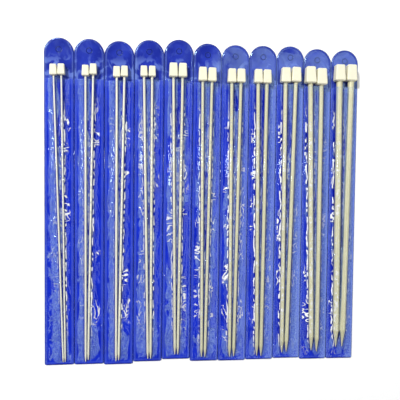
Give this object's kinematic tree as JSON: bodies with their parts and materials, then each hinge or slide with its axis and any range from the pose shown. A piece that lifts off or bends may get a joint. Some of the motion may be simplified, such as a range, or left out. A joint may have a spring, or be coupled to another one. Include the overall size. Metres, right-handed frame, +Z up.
{
  "type": "straight knitting needles",
  "caption": "Row of blue vinyl pouches, each holding a pair of single-pointed straight knitting needles with ivory block heads, graded from fine to thick.",
  "frame": {"origin": "centre of the row's footprint, on the surface it lies on", "axes": "+Z up, +Y along the needles towards their heads, +X across the row from the finest pair to the thickest"},
  "size_m": [0.3821, 0.3896, 0.0124],
  "materials": {
    "blue_vinyl": "gloss",
    "clear_vinyl": "clear gloss",
    "pearl_shaft": "satin pearl",
    "ivory_head": "satin"
  },
  "bodies": {
    "pouch_01_body": {"pouch_01": "blue_vinyl"},
    "needle_01_left": {"shaft_01_left": "pearl_shaft", "head_01_left": "ivory_head"},
    "needle_01_right": {"shaft_01_right": "pearl_shaft", "head_01_right": "ivory_head"},
    "pouch_02_body": {"pouch_02": "blue_vinyl"},
    "needle_02_left": {"shaft_02_left": "pearl_shaft", "head_02_left": "ivory_head"},
    "needle_02_right": {"shaft_02_right": "pearl_shaft", "head_02_right": "ivory_head"},
    "pouch_03_body": {"pouch_03": "blue_vinyl"},
    "needle_03_left": {"shaft_03_left": "pearl_shaft", "head_03_left": "ivory_head"},
    "needle_03_right": {"shaft_03_right": "pearl_shaft", "head_03_right": "ivory_head"},
    "pouch_04_body": {"pouch_04": "blue_vinyl"},
    "needle_04_left": {"shaft_04_left": "pearl_shaft", "head_04_left": "ivory_head"},
    "needle_04_right": {"shaft_04_right": "pearl_shaft", "head_04_right": "ivory_head"},
    "pouch_05_body": {"pouch_05": "blue_vinyl"},
    "needle_05_left": {"shaft_05_left": "pearl_shaft", "head_05_left": "ivory_head"},
    "needle_05_right": {"shaft_05_right": "pearl_shaft", "head_05_right": "ivory_head"},
    "pouch_06_body": {"pouch_06": "blue_vinyl"},
    "needle_06_left": {"shaft_06_left": "pearl_shaft", "head_06_left": "ivory_head"},
    "needle_06_right": {"shaft_06_right": "pearl_shaft", "head_06_right": "ivory_head"},
    "pouch_07_body": {"pouch_07": "blue_vinyl"},
    "needle_07_left": {"shaft_07_left": "pearl_shaft", "head_07_left": "ivory_head"},
    "needle_07_right": {"shaft_07_right": "pearl_shaft", "head_07_right": "ivory_head"},
    "pouch_08_body": {"pouch_08": "blue_vinyl"},
    "needle_08_left": {"shaft_08_left": "pearl_shaft", "head_08_left": "ivory_head"},
    "needle_08_right": {"shaft_08_right": "pearl_shaft", "head_08_right": "ivory_head"},
    "pouch_09_body": {"pouch_09": "blue_vinyl"},
    "needle_09_left": {"shaft_09_left": "pearl_shaft", "head_09_left": "ivory_head"},
    "needle_09_right": {"shaft_09_right": "pearl_shaft", "head_09_right": "ivory_head"},
    "pouch_10_body": {"pouch_10": "blue_vinyl"},
    "needle_10_left": {"shaft_10_left": "pearl_shaft", "head_10_left": "ivory_head"},
    "needle_10_right": {"shaft_10_right": "pearl_shaft", "head_10_right": "ivory_head"},
    "pouch_11_body": {"pouch_11": "blue_vinyl"},
    "needle_11_left": {"shaft_11_left": "pearl_shaft", "head_11_left": "ivory_head"},
    "needle_11_right": {"shaft_11_right": "pearl_shaft", "head_11_right": "ivory_head"}
  },
  "joints": [
    {"name": "pouch_01_lift", "type": "slide", "parent": "pouch_06_body", "child": "pouch_01_body", "axis": [0, 0, 1], "range_m": [0, 0.06]},
    {"name": "needle_01_left_slide", "type": "slide", "parent": "pouch_01_body", "child": "needle_01_left", "axis": [-0.038, 0.9992, 0.0089], "range_m": [0, 0.39]},
    {"name": "needle_01_right_slide", "type": "slide", "parent": "pouch_01_body", "child": "needle_01_right", "axis": [-0.0188, 0.9998, 0.0089], "range_m": [0, 0.39]},
    {"name": "pouch_02_lift", "type": "slide", "parent": "pouch_06_body", "child": "pouch_02_body", "axis": [0, 0, 1], "range_m": [0, 0.12]},
    {"name": "needle_02_left_slide", "type": "slide", "parent": "pouch_02_body", "child": "needle_02_left", "axis": [-0.007, 0.9999, 0.0081], "range_m": [0, 0.39]},
    {"name": "needle_02_right_slide", "type": "slide", "parent": "pouch_02_body", "child": "needle_02_right", "axis": [0.0105, 0.9999, 0.0081], "range_m": [0, 0.39]},
    {"name": "pouch_03_lift", "type": "slide", "parent": "pouch_06_body", "child": "pouch_03_body", "axis": [0, 0, 1], "range_m": [0, 0.06]},
    {"name": "needle_03_left_slide", "type": "slide", "parent": "pouch_03_body", "child": "needle_03_left", "axis": [-0.0049, 1, 0.0078], "range_m": [0, 0.39]},
    {"name": "needle_03_right_slide", "type": "slide", "parent": "pouch_03_body", "child": "needle_03_right", "axis": [0.0122, 0.9999, 0.0078], "range_m": [0, 0.39]},
    {"name": "pouch_04_lift", "type": "slide", "parent": "pouch_06_body", "child": "pouch_04_body", "axis": [0, 0, 1], "range_m": [0, 0.12]},
    {"name": "needle_04_left_slide", "type": "slide", "parent": "pouch_04_body", "child": "needle_04_left", "axis": [-0.0222, 0.9997, 0.0074], "range_m": [0, 0.39]},
    {"name": "needle_04_right_slide", "type": "slide", "parent": "pouch_04_body", "child": "needle_04_right", "axis": [-0.0035, 1, 0.0074], "range_m": [0, 0.39]},
    {"name": "pouch_05_lift", "type": "slide", "parent": "pouch_06_body", "child": "pouch_05_body", "axis": [0, 0, 1], "range_m": [0, 0.06]},
    {"name": "needle_05_left_slide", "type": "slide", "parent": "pouch_05_body", "child": "needle_05_left", "axis": [-0.015, 0.9998, 0.0095], "range_m": [0, 0.39]},
    {"name": "needle_05_right_slide", "type": "slide", "parent": "pouch_05_body", "child": "needle_05_right", "axis": [0.0068, 0.9999, 0.0095], "range_m": [0, 0.39]},
    {"name": "needle_06_left_slide", "type": "slide", "parent": "pouch_06_body", "child": "needle_06_left", "axis": [-0.0067, 0.9999, 0.0091], "range_m": [0, 0.39]},
    {"name": "needle_06_right_slide", "type": "slide", "parent": "pouch_06_body", "child": "needle_06_right", "axis": [0.0143, 0.9999, 0.0091], "range_m": [0, 0.39]},
    {"name": "pouch_07_lift", "type": "slide", "parent": "pouch_06_body", "child": "pouch_07_body", "axis": [0, 0, 1], "range_m": [0, 0.06]},
    {"name": "needle_07_left_slide", "type": "slide", "parent": "pouch_07_body", "child": "needle_07_left", "axis": [-0.0043, 1, 0.0084], "range_m": [0, 0.39]},
    {"name": "needle_07_right_slide", "type": "slide", "parent": "pouch_07_body", "child": "needle_07_right", "axis": [0.014, 0.9999, 0.0084], "range_m": [0, 0.39]},
    {"name": "pouch_08_lift", "type": "slide", "parent": "pouch_06_body", "child": "pouch_08_body", "axis": [0, 0, 1], "range_m": [0, 0.12]},
    {"name": "needle_08_left_slide", "type": "slide", "parent": "pouch_08_body", "child": "needle_08_left", "axis": [-0.0079, 0.9999, 0.0076], "range_m": [0, 0.39]},
    {"name": "needle_08_right_slide", "type": "slide", "parent": "pouch_08_body", "child": "needle_08_right", "axis": [0.0083, 0.9999, 0.0076], "range_m": [0, 0.39]},
    {"name": "pouch_09_lift", "type": "slide", "parent": "pouch_06_body", "child": "pouch_09_body", "axis": [0, 0, 1], "range_m": [0, 0.06]},
    {"name": "needle_09_left_slide", "type": "slide", "parent": "pouch_09_body", "child": "needle_09_left", "axis": [-0.0007, 1, 0.0087], "range_m": [0, 0.39]},
    {"name": "needle_09_right_slide", "type": "slide", "parent": "pouch_09_body", "child": "needle_09_right", "axis": [0.0207, 0.9997, 0.0087], "range_m": [0, 0.39]},
    {"name": "pouch_10_lift", "type": "slide", "parent": "pouch_06_body", "child": "pouch_10_body", "axis": [0, 0, 1], "range_m": [0, 0.12]},
    {"name": "needle_10_left_slide", "type": "slide", "parent": "pouch_10_body", "child": "needle_10_left", "axis": [-0.0195, 0.9998, 0.0091], "range_m": [0, 0.39]},
    {"name": "needle_10_right_slide", "type": "slide", "parent": "pouch_10_body", "child": "needle_10_right", "axis": [0.0011, 1, 0.0091], "range_m": [0, 0.39]},
    {"name": "pouch_11_lift", "type": "slide", "parent": "pouch_06_body", "child": "pouch_11_body", "axis": [0, 0, 1], "range_m": [0, 0.06]},
    {"name": "needle_11_left_slide", "type": "slide", "parent": "pouch_11_body", "child": "needle_11_left", "axis": [-0.0021, 1, 0.0068], "range_m": [0, 0.39]},
    {"name": "needle_11_right_slide", "type": "slide", "parent": "pouch_11_body", "child": "needle_11_right", "axis": [0.0179, 0.9998, 0.0068], "range_m": [0, 0.39]}
  ]
}
